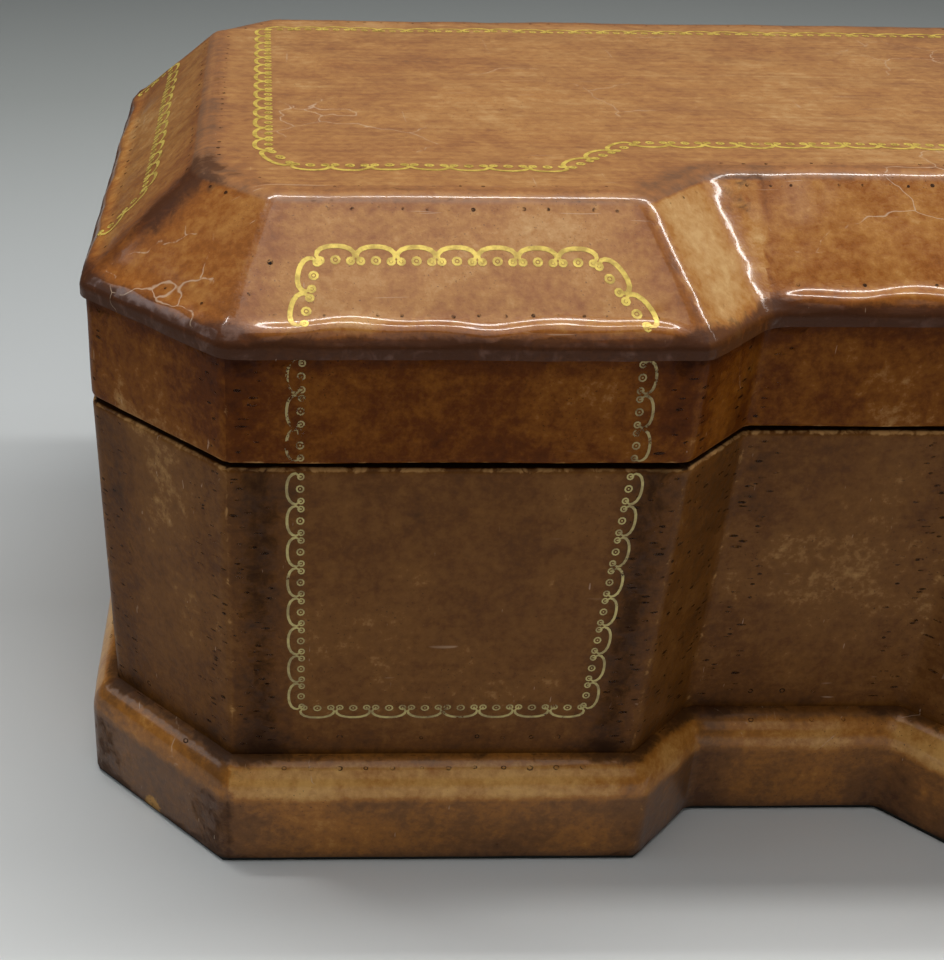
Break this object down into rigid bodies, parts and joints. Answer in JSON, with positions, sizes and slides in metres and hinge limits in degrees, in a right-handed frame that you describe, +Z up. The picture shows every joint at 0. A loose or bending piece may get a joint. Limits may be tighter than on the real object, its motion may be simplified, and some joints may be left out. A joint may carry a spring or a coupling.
{
  "type": "leather jewellery case",
  "caption": "Leather-covered jewellery case with cut corners, a waisted front, a bevelled hinged lid, a moulded plinth and a lined lift-out tray.",
  "frame": {"origin": "middle of the underside, on the surface the case stands on", "axes": "+X to the right along the case's length, +Y to the back where the hinges are, +Z up"},
  "size_m": [0.308, 0.19, 0.139],
  "materials": {
    "board": "bare poplar board",
    "leather": "glossy brown, gilt tooled, worn",
    "black_leather": "black, smooth",
    "baize": "black felt",
    "velvet": "wine red velvet",
    "silk": "old gold silk",
    "brass": "aged brass"
  },
  "bodies": {
    "case": {"front_left_corner_board": "board", "left_bay_board": "board", "left_step_board": "board", "recess_board": "board", "right_step_board": "board", "right_bay_board": "board", "front_right_corner_board": "board", "right_end_board": "board", "back_right_corner_board": "board", "back_board": "board", "back_left_corner_board": "board", "left_end_board": "board", "floor_board": "board", "plinth_moulding": "board", "plinth_leather": "leather", "case_leather": "leather", "base_baize": "baize", "lip_liner": "black_leather", "case_lining": "velvet", "floor_pad": "velvet", "tray_ledges": "velvet", "hinge_left_case_leaf": "brass", "hinge_left_pin": "brass", "hinge_right_case_leaf": "brass", "hinge_right_pin": "brass", "hinge_case_screws": "brass", "stay_ribbon_left": "silk", "stay_ribbon_right": "silk"},
    "lid": {"lid_wall_boards": "board", "lid_bevel_boards": "board", "lid_top_board": "board", "lid_leather": "leather", "lid_band_leather": "leather", "lid_lining": "silk", "lid_pad": "silk", "hinge_left_lid_leaf": "brass", "hinge_right_lid_leaf": "brass", "hinge_lid_screws": "brass"},
    "tray": {"tray_base": "board", "tray_walls": "velvet", "tray_cross_divider_left": "velvet", "tray_cross_divider_right": "velvet", "tray_middle_divider": "velvet", "tray_side_divider_left": "velvet", "tray_side_divider_right": "velvet", "tray_pads": "velvet", "ring_rolls": "velvet", "tray_pull_left": "silk", "tray_pull_right": "silk"}
  },
  "joints": [
    {"name": "lid_hinge", "type": "hinge", "parent": "case", "child": "lid", "pos_m": [0, 0.0932, 0.0945], "axis": [-1, 0, 0], "range_deg": [0, 100]},
    {"name": "tray_lift", "type": "slide", "parent": "case", "child": "tray", "axis": [0, 0, 1], "range_m": [0, 0.07]}
  ],
  "couplings": [
    {"joint": "tray_lift", "follows": "lid_hinge", "m_per_rad": 0.04}
  ]
}
